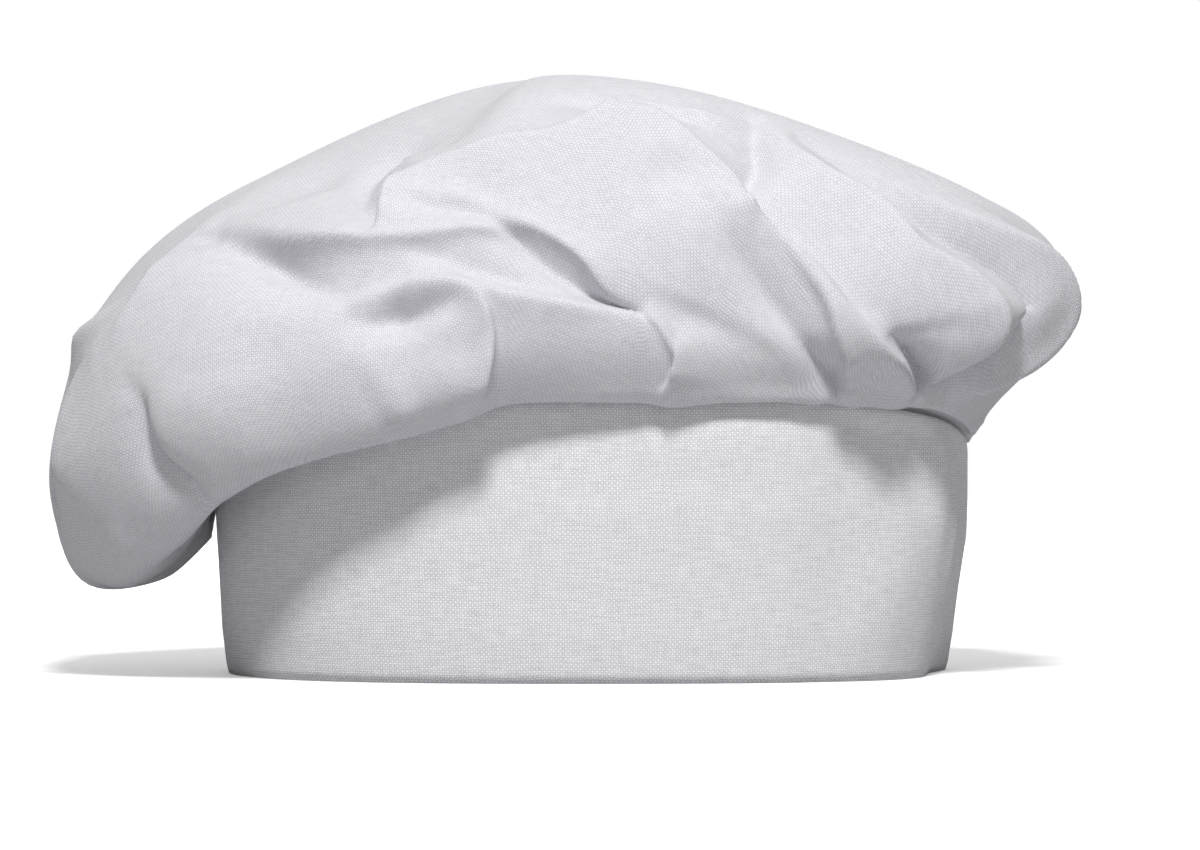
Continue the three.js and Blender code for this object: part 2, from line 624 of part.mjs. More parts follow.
addPiece('band', bandGeometry());
addPiece('crown', crownGeometry());

// The frame's origin is the middle of the object's footprint, on the lower rim.
const box = new THREE.Box3().setFromObject(hat);
const middle = box.getCenter(new THREE.Vector3());
hat.position.set(-middle.x, -middle.y, -box.min.z);

export default hat;
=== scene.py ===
import math

import bpy
import numpy as np
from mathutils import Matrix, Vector


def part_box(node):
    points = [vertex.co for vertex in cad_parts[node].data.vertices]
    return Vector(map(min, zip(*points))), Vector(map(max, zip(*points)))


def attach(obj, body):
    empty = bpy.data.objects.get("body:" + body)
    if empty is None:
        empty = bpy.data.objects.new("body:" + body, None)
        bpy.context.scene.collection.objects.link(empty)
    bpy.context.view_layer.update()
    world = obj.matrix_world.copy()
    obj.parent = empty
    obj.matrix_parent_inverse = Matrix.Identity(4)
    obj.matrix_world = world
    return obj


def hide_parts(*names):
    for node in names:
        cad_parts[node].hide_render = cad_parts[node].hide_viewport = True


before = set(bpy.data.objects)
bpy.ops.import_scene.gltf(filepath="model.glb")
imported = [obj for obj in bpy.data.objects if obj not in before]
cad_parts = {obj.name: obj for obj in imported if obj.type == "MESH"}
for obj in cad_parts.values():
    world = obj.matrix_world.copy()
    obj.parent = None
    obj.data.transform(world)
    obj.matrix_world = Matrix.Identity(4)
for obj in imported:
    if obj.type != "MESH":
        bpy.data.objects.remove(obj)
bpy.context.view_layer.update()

# Band
# The upright oval band round the head: a strip of white cotton folded double, so that its lower
# rim is a fold. The crown is sewn into its upper edge, which runs level over the front and the
# left and drops towards the right. Sizes are in millimetres unless noted, azimuths in degrees.
BAND_LONG = 198.0
BAND_WIDE = 160.0
BAND_FULLNESS = 2.5
BAND_WALL = 2.0
BAND_LINES = 360
BAND_ROWS = 44
BAND_CROWDING = 0.9
BAND_INSIDE_STEP = 4
MILLIMETRE = 0.001

# How high the band is, by azimuth: right is 0, back 90, left 180 and front 270 degrees
BAND_HEIGHTS = [
    (0, 59), (25, 61), (60, 64), (90, 66), (120, 68), (150, 70), (170, 71), (185, 71),
    (200, 71), (215, 71), (230, 71), (245, 71), (257, 71), (275, 71), (300, 71), (325, 67),
    (345, 62),
]

# The band's face from the rim up: share of its height, and how far out from the full oval
BAND_PROFILE = [(0.0, -3.2), (0.02, -2.7), (0.16, -1.5), (0.6, 0.3), (0.97, 0.1), (1.0, -0.3)]

# Share of the height over which the puckers fade out towards the seam
PUCKER_FADE = 0.1

# Puckers and hollows: azimuth, share of the height, depth, and how far each spreads in degrees
# and in height. A depth below 0 stands out.
BAND_PUCKERS = [
    (316, 0.76, 2.6, 6, 0.32), (345, 0.00, 6.5, 17, 0.40), (316, 0.34, -1.2, 6, 0.22),
    (306, 0.45, 0.9, 5, 0.50), (329, 0.80, -1.3, 3, 0.28), (336, 0.66, -0.9, 2.5, 0.34),
    (341, 0.82, 1.6, 6, 0.30), (309, 0.97, 0.9, 3, 0.25), (323, 0.97, 1.2, 3, 0.30),
    (288, 0.86, -0.8, 14, 0.12), (287, 0.15, 0.5, 16, 0.30), (214, 0.35, 1.2, 12, 0.40),
    (262, 0.70, 0.4, 14, 0.30), (95, 0.60, 1.4, 14, 0.50),
]


def closed_curve(rows, azimuth):
    """Every column of a table at the given azimuths, by a smooth curve that closes on itself."""
    table = np.array(rows, float)
    before, after = table[-2:].copy(), table[:2].copy()
    before[:, 0] -= 360
    after[:, 0] += 360
    table = np.vstack([before, table, after])
    place = table[:, 0]
    azimuth = np.mod(azimuth, 360)
    k = np.clip(np.searchsorted(place, azimuth, side="right") - 1, 1, len(place) - 3)
    span = (place[k + 1] - place[k])[..., None]
    t = (azimuth - place[k])[..., None] / span
    slope_here = (table[k + 1] - table[k - 1]) / (place[k + 1] - place[k - 1])[..., None]
    slope_next = (table[k + 2] - table[k]) / (place[k + 2] - place[k])[..., None]
    return (
        (2 * t**3 - 3 * t**2 + 1) * table[k]
        + (t**3 - 2 * t**2 + t) * span * slope_here
        + (3 * t**2 - 2 * t**3) * table[k + 1]
        + (t**3 - t**2) * span * slope_next
    )[..., 1:]


def ease(t):
    """0 to 1 with a smooth start and end."""
    held = np.clip(t, 0, 1)
    return held * held * (3 - 2 * held)


def fullness(azimuth):
    """How far the oval's flattened sides carry its corners outside an even oval."""
    turn = np.radians(azimuth)
    power = BAND_FULLNESS
    return (np.abs(np.cos(turn)) ** power + np.abs(np.sin(turn)) ** power) ** (-1 / power)


def band_oval(azimuth, out):
    """Plan of the band's oval, grown by out."""
    turn = np.radians(azimuth)
    long_way = (BAND_LONG / 2 + out) * np.cos(turn)
    wide_way = (BAND_WIDE / 2 + out) * np.sin(turn)
    return np.stack([long_way, wide_way], -1) * fullness(azimuth)[..., None]


def band_height(azimuth):
    """How high the seam with the crown runs above the rim."""
    return closed_curve(BAND_HEIGHTS, azimuth)[..., 0]


def band_ring(azimuth, share, out):
    """One ring of the band's cloth at a share of its height."""
    depth = np.zeros_like(azimuth)
    for at, height, deep, degrees, spread in BAND_PUCKERS:
        turn = np.mod(azimuth - at + 180, 360) - 180
        depth += deep * np.exp(-((turn / degrees) ** 2) - ((share - height) / spread) ** 2)
    depth *= ease((1 - share) / PUCKER_FADE)
    plan = band_oval(azimuth, out - depth)
    return np.column_stack([plan, share * band_height(azimuth)])


def into_frame(points):
    """Millimetres from the band's middle, as metres in the frame."""
    low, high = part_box("band")
    middle = (low + high) / 2
    return np.asarray(points) * MILLIMETRE + np.array([middle.x, middle.y, 0])


def smooth_mesh(name, points, faces, corners):
    """A smooth mesh object with a UV corner, in metres of cloth, for each corner of a face."""
    mesh = bpy.data.meshes.new(name)
    mesh.from_pydata(into_frame(points).tolist(), [], faces)
    layer = mesh.uv_layers.new(name="cloth")
    layer.data.foreach_set("uv", np.asarray(corners, np.float32).ravel())
    mesh.polygons.foreach_set("use_smooth", [True] * len(mesh.polygons))
    mesh.update()
    piece = bpy.data.objects.new(name, mesh)
    bpy.context.scene.collection.objects.link(piece)
    return piece


def band_mesh():
    """The band's closed wall: rings up the outside, down the inside and round the folded rim."""
    azimuth = np.arange(BAND_LINES) * 360 / BAND_LINES
    shares = np.linspace(0, 1, BAND_ROWS + 1) ** BAND_CROWDING
    profile = np.array(BAND_PROFILE)
    rings = []
    for share in shares:
        rings.append(band_ring(azimuth, share, np.interp(share, profile[:, 0], profile[:, 1])))
    for share in shares[::-BAND_INSIDE_STEP]:
        out = np.interp(share, profile[:, 0], profile[:, 1])
        rings.append(band_ring(azimuth, share, out - BAND_WALL))
    plan = band_oval(azimuth, 0) * MILLIMETRE
    steps = np.linalg.norm(np.roll(plan, -1, axis=0) - plan, axis=1)
    along = np.concatenate([[0], np.cumsum(steps)])
    faces, corners = [], []
    count = len(rings)
    for r in range(count):
        above = (r + 1) % count
        low, high = rings[r][:, 2] * MILLIMETRE, rings[above][:, 2] * MILLIMETRE
        here, there = r * BAND_LINES, above * BAND_LINES
        for i in range(BAND_LINES):
            k = (i + 1) % BAND_LINES
            right = along[i + 1]
            faces.append((here + i, here + k, there + k, there + i))
            corners += [(along[i], low[i]), (right, low[k]), (right, high[k]), (along[i], high[i])]
    return smooth_mesh("band_cloth", np.vstack(rings), faces, corners)


band = band_mesh()

# Plain-woven white cotton, of uneven threads that cross over and under. The width of a thread and
# the relief of the weave are in metres. Height and painted shade rise from the gaps to the threads:
# the darker gaps and crossings are painted shade of the weave's relief, and the threads' uneven
# tone is the cloth's own.
THREAD = 0.00062
WEAVE_RELIEF = 0.00006

# How coarse the wandering of the threads is, and how many threads wide
WANDER_SCALE = 0.07
WANDER_REACH = 1.6

# Shades of single threads: how little they change along a thread, the warp's share, and the middle
SHADE_ALONG = 0.12
WARP_SHARE = 0.7
THREADS_MIDDLE = 0.85

# How strongly the threads stand over the gaps, and one thread over another where they cross, both
# in relief and in the painted shade of the weave
KNUCKLE_GAIN = 0.9
KNUCKLE_LEVEL = 0.15
CROSSING_GAIN = 0.22

# Finish of the cotton
COTTON_ROUGHNESS = 0.92
COTTON_SPECULAR = 0.25
COTTON_SHEEN = 0.12
COTTON_SHEEN_ROUGHNESS = 0.45


def weave_group():
    """Painted shade and thread tone, and height, of plain-woven cloth over a flat map in metres."""
    tree = bpy.data.node_groups.new("plain weave", "ShaderNodeTree")
    inputs = [
        ("Vector", "NodeSocketVector"), ("Turn", "NodeSocketFloat"),
        ("Threads", "NodeSocketFloat"), ("Unevenness", "NodeSocketFloat"),
    ]
    for name, kind in inputs:
        tree.interface.new_socket(name, in_out="INPUT", socket_type=kind)
    for name in ("Shade", "Height"):
        tree.interface.new_socket(name, in_out="OUTPUT", socket_type="NodeSocketFloat")
    nodes, links = tree.nodes, tree.links
    taken = nodes.new("NodeGroupInput")
    given = nodes.new("NodeGroupOutput")

    def math_node(operation, first, second=None):
        """A math node on values or sockets."""
        node = nodes.new("ShaderNodeMath")
        node.operation = operation
        for socket, value in zip(node.inputs, (first, second)):
            if value is None:
                continue
            if isinstance(value, (int, float)):
                socket.default_value = value
            else:
                links.new(value, socket)
        return node.outputs[0]

    def thread_shade(across, along):
        """A noise on the map stretched one way, so that it draws lighter and darker threads."""
        stretched = nodes.new("ShaderNodeVectorMath")
        stretched.operation = "MULTIPLY"
        links.new(scaled.outputs[0], stretched.inputs[0])
        stretched.inputs[1].default_value = (across, along, 1)
        shade = nodes.new("ShaderNodeTexNoise")
        shade.inputs["Scale"].default_value = 1
        shade.inputs["Detail"].default_value = 0
        links.new(stretched.outputs[0], shade.inputs["Vector"])
        return shade.outputs["Fac"]

    turned = nodes.new("ShaderNodeVectorRotate")
    turned.rotation_type = "Z_AXIS"
    links.new(taken.outputs["Vector"], turned.inputs["Vector"])
    links.new(taken.outputs["Turn"], turned.inputs["Angle"])
    scaled = nodes.new("ShaderNodeVectorMath")
    scaled.operation = "SCALE"
    links.new(turned.outputs[0], scaled.inputs[0])
    links.new(taken.outputs["Threads"], scaled.inputs["Scale"])
    wander = nodes.new("ShaderNodeTexNoise")
    wander.inputs["Scale"].default_value = WANDER_SCALE
    wander.inputs["Detail"].default_value = 1
    links.new(scaled.outputs[0], wander.inputs["Vector"])
    shift = nodes.new("ShaderNodeVectorMath")
    shift.operation = "MULTIPLY_ADD"
    links.new(wander.outputs["Color"], shift.inputs[0])
    shift.inputs[1].default_value = (WANDER_REACH, WANDER_REACH, 0)
    links.new(scaled.outputs[0], shift.inputs[2])
    split = nodes.new("ShaderNodeSeparateXYZ")
    links.new(shift.outputs[0], split.inputs[0])
    warp = math_node("SINE", math_node("MULTIPLY", split.outputs["X"], math.pi))
    weft = math_node("SINE", math_node("MULTIPLY", split.outputs["Y"], math.pi))
    over = math_node("MULTIPLY", warp, weft)
    knuckle = math_node("MAXIMUM", math_node("ABSOLUTE", warp), math_node("ABSOLUTE", weft))
    weft_thread = thread_shade(SHADE_ALONG, 1.0)
    warp_thread = thread_shade(1.0, SHADE_ALONG)
    threads = math_node("ADD", weft_thread, math_node("MULTIPLY", warp_thread, WARP_SHARE))
    threads = math_node("SUBTRACT", threads, THREADS_MIDDLE)
    threads = math_node("MULTIPLY", threads, taken.outputs["Unevenness"])
    # The knuckles and crossings make the weave's relief, and the same values paint its shade: gaps darker,
    # thread tops lighter
    dots = math_node("SUBTRACT", math_node("MULTIPLY", knuckle, KNUCKLE_GAIN), KNUCKLE_LEVEL)
    crossed = math_node("ADD", dots, math_node("MULTIPLY", over, CROSSING_GAIN))
    cloth = math_node("ADD", crossed, threads)
    # Shade carries painted shade of the gaps and crossings, plus the threads' own tone
    links.new(cloth, given.inputs["Shade"])
    links.new(cloth, given.inputs["Height"])
    return tree


weave = weave_group()


def cotton(name, painted_gap_shade, thread_colour, turn, unevenness):
    """A white cotton whose threads have their own colour, with painted shade darkening the gaps."""
    material = bpy.data.materials.new(name)
    material.use_nodes = True
    nodes, links = material.node_tree.nodes, material.node_tree.links
    cloth = nodes["Principled BSDF"]
    flat = nodes.new("ShaderNodeUVMap")
    flat.uv_map = "cloth"
    group = nodes.new("ShaderNodeGroup")
    group.node_tree = weave
    links.new(flat.outputs["UV"], group.inputs["Vector"])
    group.inputs["Turn"].default_value = math.radians(turn)
    group.inputs["Threads"].default_value = 1 / THREAD
    group.inputs["Unevenness"].default_value = unevenness
    # Gaps and crossings are darkened with painted shade of the weave, and the threads keep their own colour
    tint = nodes.new("ShaderNodeMix")
    tint.data_type = "RGBA"
    tint.inputs["A"].default_value = painted_gap_shade
    tint.inputs["B"].default_value = thread_colour
    links.new(group.outputs["Shade"], tint.inputs["Factor"])
    links.new(tint.outputs["Result"], cloth.inputs["Base Color"])
    bump = nodes.new("ShaderNodeBump")
    bump.inputs["Strength"].default_value = 1
    bump.inputs["Distance"].default_value = WEAVE_RELIEF
    links.new(group.outputs["Height"], bump.inputs["Height"])
    links.new(bump.outputs["Normal"], cloth.inputs["Normal"])
    cloth.inputs["Roughness"].default_value = COTTON_ROUGHNESS
    cloth.inputs["Specular IOR Level"].default_value = COTTON_SPECULAR
    cloth.inputs["Sheen Weight"].default_value = COTTON_SHEEN
    cloth.inputs["Sheen Roughness"].default_value = COTTON_SHEEN_ROUGHNESS
    return material


band_cotton = cotton(
    "band cotton",
    # The gap colour is painted shade between the threads
    painted_gap_shade=(0.42, 0.41, 0.44, 1),
    thread_colour=(0.93, 0.92, 0.94, 1),
    turn=0,
    unevenness=0.35,
)
band.data.materials.append(band_cotton)
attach(band, "root")
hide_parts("band")

# Crown
# The wide soft top: one round piece of light white cotton, gathered all round its edge and sewn
# into the band's upper edge. It sags over the band on the left and in front, and stands out past
# it on the right. It is a single layer, open below, with the head's room inside.
CROWN_WALL = 1.2
FRONT_STEP = 0.5
BACK_STEP = 1.3
FRONT_FROM = 182
FRONT_TO = 358
CROWN_ROWS = 156
SEAM_CROWDING = 1.2
SECTION_STEPS = 24
INSIDE_LINE_STEP = 2
INSIDE_ROW_STEP = 3
SEWN_ROWS = 2
POLE = (-12.0, 4.0, 157.0)
MOUTH_INSET = 3.2
TUCK_DEPTH = 6.0
SEAM_RISE = 0.6
COVER_OUT = 0.8
COVER_RISE = 1.6
BESIDE_BAND = 1.8

# Sections of the crown from the band up towards the pole, by azimuth. Each pair after the azimuth
# is a point of the section: how far out past the band's oval, and how high above the rim. The
# points are the neck, the underside, the furthest reach, the shoulder and the dome.
CROWN_SECTIONS = [
    (0, 0.5, 61, -0.5, 70, 24.5, 97, 12, 120, -38, 139),
    (25, 0.5, 63, -0.3, 69, 26.9, 95, 7.4, 120, -39.6, 138),
    (60, 5, 65, 12.3, 68, 34.6, 92, 7.6, 122, -35.4, 143),
    (90, 5, 67, 17.5, 68, 42.9, 90, 12.9, 123, -29.1, 147),
    (120, 5, 68, 17.6, 64, 41.1, 86, 11.1, 120, -32.9, 142.5),
    (150, 7, 68, 20, 49, 41.9, 75, 17.9, 111, -26.1, 135.5),
    (170, 4, 44, 31, 26.5, 44.1, 58, 27, 99, -10.9, 129.5),
    (185, 4, 40, 33, 25.5, 43.8, 54, 28, 99, -8.2, 128.5),
    (200, 4, 44, 26, 24.5, 41.5, 56, 24.5, 100, -13.5, 129.5),
    (215, 8, 65, 22, 35, 37.5, 63, 18.8, 105, -20.2, 131.5),
    (230, 8, 66, 23, 51, 34, 75, 12.9, 111, -25.1, 134.5),
    (245, 6, 69, 17.5, 61.5, 25, 83, 8.6, 115, -25.4, 139.5),
    (257, 4, 70, 10, 70.5, 16, 86, 6.6, 117, -24.4, 147),
    (275, 3, 70, 7, 73, 11, 87, 3.6, 119, -25.4, 149),
    (300, 3, 70, 5, 74, 13, 89, -2.3, 123, -31.3, 147),
    (325, 3, 68, 7, 73, 29, 93, 9, 122, -33, 141.5),
    (345, 0.5, 63, 4, 70, 25, 97, 8.3, 122, -37.7, 138.5),
]

# Folds of the crown: name, path, height, width, lean, rounding and lap. The path is given in
# azimuth and rise, where rise is 0 at the band and 1 at the pole. Height is at the start, the
# middle and the end, and a valley's is below 0. Width is how far the fold reaches to each side,
# at the start and the end. A lean above 0 widens the left-hand side of travel, and a lap above 0
# carries the crest over to the right-hand side.
CROWN_FOLDS = [
    ("lobe edge", ((242, 0.33), (245.5, 0.315), (249, 0.295), (252, 0.265), (254.5, 0.23),
     (255.5, 0.185), (254.5, 0.145)),
     (3, 10, 8), (8, 9), -0.6, 0.8, -3.5),
    ("lobe dent", ((242.5, 0.305), (244.5, 0.29), (246.5, 0.28), (248, 0.265), (250, 0.255), (252, 0.245)),
     (-3, -9, -5), (4.5, 4), 0, 0.8, 0),
    ("lobe bulge", ((243.5, 0.295), (246, 0.275), (248, 0.25), (250, 0.22), (252, 0.2)),
     (1, 4, 1), (8, 10), 0.3, 2, 0),
    ("lobe side fold", ((255, 0.195), (253.5, 0.195), (252.5, 0.2), (251, 0.195), (250, 0.19)),
     (-2, -2, 0), (4, 6), 0, 1, 0),
    ("lobe crease", ((217, 0.355), (219, 0.33), (219, 0.3), (219.5, 0.275), (221, 0.245),
     (222.5, 0.22), (222.5, 0.19)),
     (-1, -7, -4), (2.2, 4.2), -0.35, 0.4, 0),
    ("lobe swell", ((215, 0.365), (217.5, 0.335), (218, 0.305), (219, 0.27), (220.5, 0.24), (222, 0.205)),
     (0, 2.5, 1), (6, 6), -0.5, 0.8, 0),
    ("lobe hem", ((205, 0.33), (204.5, 0.29), (207, 0.255), (209.5, 0.23), (212.5, 0.21), (215, 0.19)),
     (1, 4, 1), (10, 9), 0.5, 1, 0),
    ("left ridge", ((212.5, 0.565), (213, 0.53), (215, 0.495), (215, 0.46), (213, 0.425), (209.5, 0.42)),
     (3, 8, 7), (16, 16), 0.6, 0.8, 4),
    ("left limb", ((205, 0.415), (204.5, 0.38), (203.5, 0.35), (201, 0.34), (198, 0.32)),
     (6, 7, 3), (20, 16), 0.5, 1.5, 0),
    ("upper ridge", ((214.5, 0.56), (224.5, 0.515), (233, 0.465), (241, 0.425), (249, 0.385), (257, 0.35)),
     (4, 9, 6), (11, 6), 0.4, 0.3, 3),
    ("upper valley", ((218, 0.535), (225, 0.49), (231, 0.445), (236, 0.395), (241, 0.345)),
     (-3, -8, -3), (5, 7), 0, 1, 0),
    ("corner edge", ((244.5, 0.485), (244.5, 0.45), (244, 0.42)),
     (7, 7, 4), (12, 9), 0.75, 0.6, 4),
    ("corner valley", ((243.5, 0.43), (239.5, 0.495), (235.5, 0.565), (231.5, 0.64), (234.5, 0.685),
     (244.5, 0.635)),
     (-2, -6, -2), (5, 8), 0, 1, 0),
    ("corner crest", ((243.5, 0.5), (248, 0.51), (253, 0.49), (258.5, 0.48), (264, 0.47),
     (269, 0.475), (274.5, 0.49)),
     (5, 7, 8), (14, 16), -0.65, 0.6, -3),
    ("above the roll", ((246, 0.505), (250.5, 0.465), (255, 0.425), (259, 0.385), (263, 0.35), (267, 0.32)),
     (-1, -3, -2), (5, 6), 0, 1.2, 0),
    ("roll valley", ((246.5, 0.46), (251.5, 0.41), (257.5, 0.37), (261, 0.31), (265, 0.26),
     (269.5, 0.22), (274.5, 0.2)),
     (-2, -5, -5), (3.5, 3), 0, 0.6, 0),
    ("roll crest", ((245.5, 0.475), (252, 0.43), (257.5, 0.375), (263, 0.335), (268, 0.29),
     (271.5, 0.23), (276.5, 0.19), (280, 0.14)),
     (4, 7, 5), (9, 6), 0.6, 0.6, 2.5),
    ("lower panel swell", ((268, 0.31), (273, 0.265), (278.5, 0.23), (283.5, 0.2), (288.5, 0.17),
     (293.5, 0.145)),
     (1, 4, 2), (9, 8), 0.5, 0.8, 1),
    ("under the panel", ((270.5, 0.255), (277, 0.21), (284, 0.17), (290.5, 0.135), (296.5, 0.1)),
     (0, -3, -1), (7, 7), 0, 1.5, 0),
    ("front lower crest", ((245, 0.395), (250, 0.32), (254.5, 0.255), (261, 0.22), (267.5, 0.2),
     (274, 0.185)),
     (2, 8.5, 7), (10, 8), -0.4, 0.3, -2),
    ("above the lower crest", ((247.5, 0.375), (252.5, 0.315), (257.5, 0.265), (263.5, 0.235),
     (269.5, 0.215)),
     (-1, -3, -1), (3, 3), 0, 0.6, 0),
    ("front pleat", ((281, 0.14), (280.5, 0.11), (280, 0.085)),
     (5, 5.5, 4), (7, 6), 0.85, 0.5, 3),
    ("panel crest high", ((274.5, 0.49), (279.5, 0.485), (283, 0.45), (285.5, 0.41), (287.5, 0.37),
     (287.5, 0.325)),
     (8, 8, 9), (18, 16), -0.65, 0.6, -4),
    ("panel crest low", ((287.5, 0.32), (292.5, 0.275), (297, 0.23), (300.5, 0.17), (305, 0.14),
     (309.5, 0.11), (313.5, 0.07)),
     (9, 8, 4.5), (15, 5), -0.65, 0.4, -5),
    ("panel valley", ((282, 0.355), (284.5, 0.29), (288.5, 0.24), (292, 0.19), (295.5, 0.14),
     (299.5, 0.1), (303.5, 0.07)),
     (-1, -6, -5), (5.5, 2.8), 0.2, 0.4, 0),
    ("second pleat", ((291, 0.305), (294, 0.255), (297, 0.205), (299, 0.155), (302, 0.11), (304.5, 0.065)),
     (2, 9, 6), (4.2, 3.4), 0.6, 0.3, 2.5),
    ("panel dent", ((278.5, 0.44), (279.5, 0.415), (280.5, 0.385), (281.5, 0.355), (282, 0.325)),
     (0, -2, 0), (5, 6), 0, 1.5, 0),
    ("third pleat valley", ((304.5, 0.19), (307.5, 0.15), (310.5, 0.12), (314, 0.095), (317, 0.07)),
     (-1, -6, -4.5), (4, 3), 0.45, 0.4, 0),
    ("third pleat", ((314.5, 0.135), (316.5, 0.1), (318.5, 0.065)),
     (3, 6, 5.5), (4.5, 3.2), 0.3, 0.5, 2.5),
    ("upright crease", ((301, 0.53), (298, 0.48), (296, 0.43), (292.5, 0.385), (289.5, 0.34)),
     (-6, -8, -2), (8, 5), -0.3, 0.5, 0),
    ("right panel crest", ((302, 0.525), (301.5, 0.455), (304.5, 0.39), (308.5, 0.34), (310.5, 0.27),
     (315.5, 0.235), (318.5, 0.19), (316, 0.125)),
     (4, 8, 5), (16, 8), -0.5, 0.8, -3),
    ("right panel valley", ((306, 0.48), (312, 0.38), (319, 0.325), (326, 0.28), (329, 0.215),
     (326, 0.15), (321, 0.085)),
     (-2, -10, -9), (8, 5), 0, 0.8, 0),
    ("right rim crest", ((310, 0.45), (320, 0.375), (329, 0.32), (336, 0.265), (339, 0.21),
     (335, 0.15), (328, 0.085)),
     (1, 6, 6), (5, 4), 0, 0.5, 0),
    ("rim roll valley", ((317, 0.46), (327, 0.39), (336, 0.33), (342.5, 0.27), (345, 0.21),
     (341, 0.15), (334, 0.085)),
     (0, -3.5, -3.5), (2.5, 2.5), 0, 0.5, 0),
    ("top crest", ((268.5, 0.63), (276, 0.61), (282, 0.585), (287.5, 0.55), (293.5, 0.525), (299.5, 0.525)),
     (1, 4, 3), (9, 9), -0.5, 0.6, -2),
    ("top valley", ((266, 0.6), (272.5, 0.585), (279, 0.585), (284, 0.555), (288.5, 0.52), (293.5, 0.5)),
     (-2, -6, -3), (7, 7), 0, 1, 0),
    ("top hollow", ((207, 0.645), (222.5, 0.635), (233.5, 0.555)),
     (0, -4, 0), (14, 16), 0, 3, 0),
    ("lobe hollow", ((230, 0.39), (232.5, 0.34), (234, 0.29), (233, 0.235), (230.5, 0.195)),
     (0, -2.5, 0), (12, 14), 0, 4, 0),
    ("lobe under crest", ((244.5, 0.165), (247, 0.165), (249.5, 0.16)),
     (2, 4, 3), (10, 9), 0.3, 2, 0),
    ("lobe underside", ((166, 0.19), (173, 0.19), (180, 0.19), (187, 0.19), (194, 0.19)),
     (2, 5, 2), (12, 12), 0, 4, 0),
    ("left shoulder", ((184, 0.475), (189.5, 0.48), (195.5, 0.485), (201.5, 0.495), (207, 0.51)),
     (1, 5, 1), (6, 6), 0, 1, 0),
    ("left notch", ((186, 0.43), (192, 0.43), (198, 0.43), (204, 0.43), (210, 0.44)),
     (0, -3, 0), (4, 4), 0, 1.5, 0),
    ("back crest right", ((66, 0.2), (73, 0.34), (84, 0.48), (102, 0.58)),
     (1, 4, 0), (9, 14), 0.4, 1, 2),
    ("back valley right", ((58, 0.3), (62, 0.42), (70, 0.55), (84, 0.66)),
     (0, -3.5, 0), (9, 14), 0, 2, 0),
    ("back crest left", ((128, 0.16), (121, 0.28), (110, 0.38), (94, 0.44)),
     (1, 3.5, 0), (9, 12), -0.4, 1, -2),
    ("back valley left", ((140, 0.24), (133, 0.37), (121, 0.47), (106, 0.52)),
     (0, -3.5, 0), (8, 12), 0, 1.5, 0),
    ("left side crest", ((158, 0.3), (152, 0.44), (143, 0.56), (130, 0.66)),
     (1, 4, 0), (9, 15), 0.4, 1.5, 2),
    ("right side crest", ((20, 0.22), (28, 0.36), (40, 0.5), (58, 0.6)),
     (1, 4, 0), (8, 14), 0.4, 1.2, 2),
]

# Gathers round the hidden sides, spaced evenly along the band
GATHER_FIRST = 352
GATHER_STEP = 15.5
GATHER_COUNT = 13
GATHER_DRIFT = 5
GATHER_HEIGHT = 4.6
GATHER_WIDTH = 7
GATHER_WIDENING = 1.6
GATHER_LEAN = 0.3
GATHER_ROUNDING = 1.5
GATHER_LAP = 1.5
GATHER_START = 0.05
GATHER_REACHES = [0.34, 0.52, 0.28, 0.6]
DEEP_VALLEY_EVERY = 3
DEEP_VALLEY_HEIGHT = -4.5
DEEP_VALLEY_WIDENING = 2.2
DEEP_VALLEY_ROUNDING = 3
DEEP_VALLEY_CLIMB = 0.22
DEEP_VALLEY_DRIFT = 3

# How the folds are laid on: the steps along a path, the power by which folds that meet merge, the
# rise over which they fade out at the seam and the pole, how far a fold's face may turn away from
# the cloth it lifts, how far round its path it is worked out, how fast its lap dies away, and how
# often and how strongly the finished cloth is evened.
PATH_STEPS = 48
MERGING = 3
SEAM_HOLD = 0.05
POLE_HOLD = 0.03
FACING_RANGE = 0.6
FOLD_RANGE = 60
LAP_NARROWING = 1.5
EVENING_PASSES = 1
EVENING_SHARE = 0.5


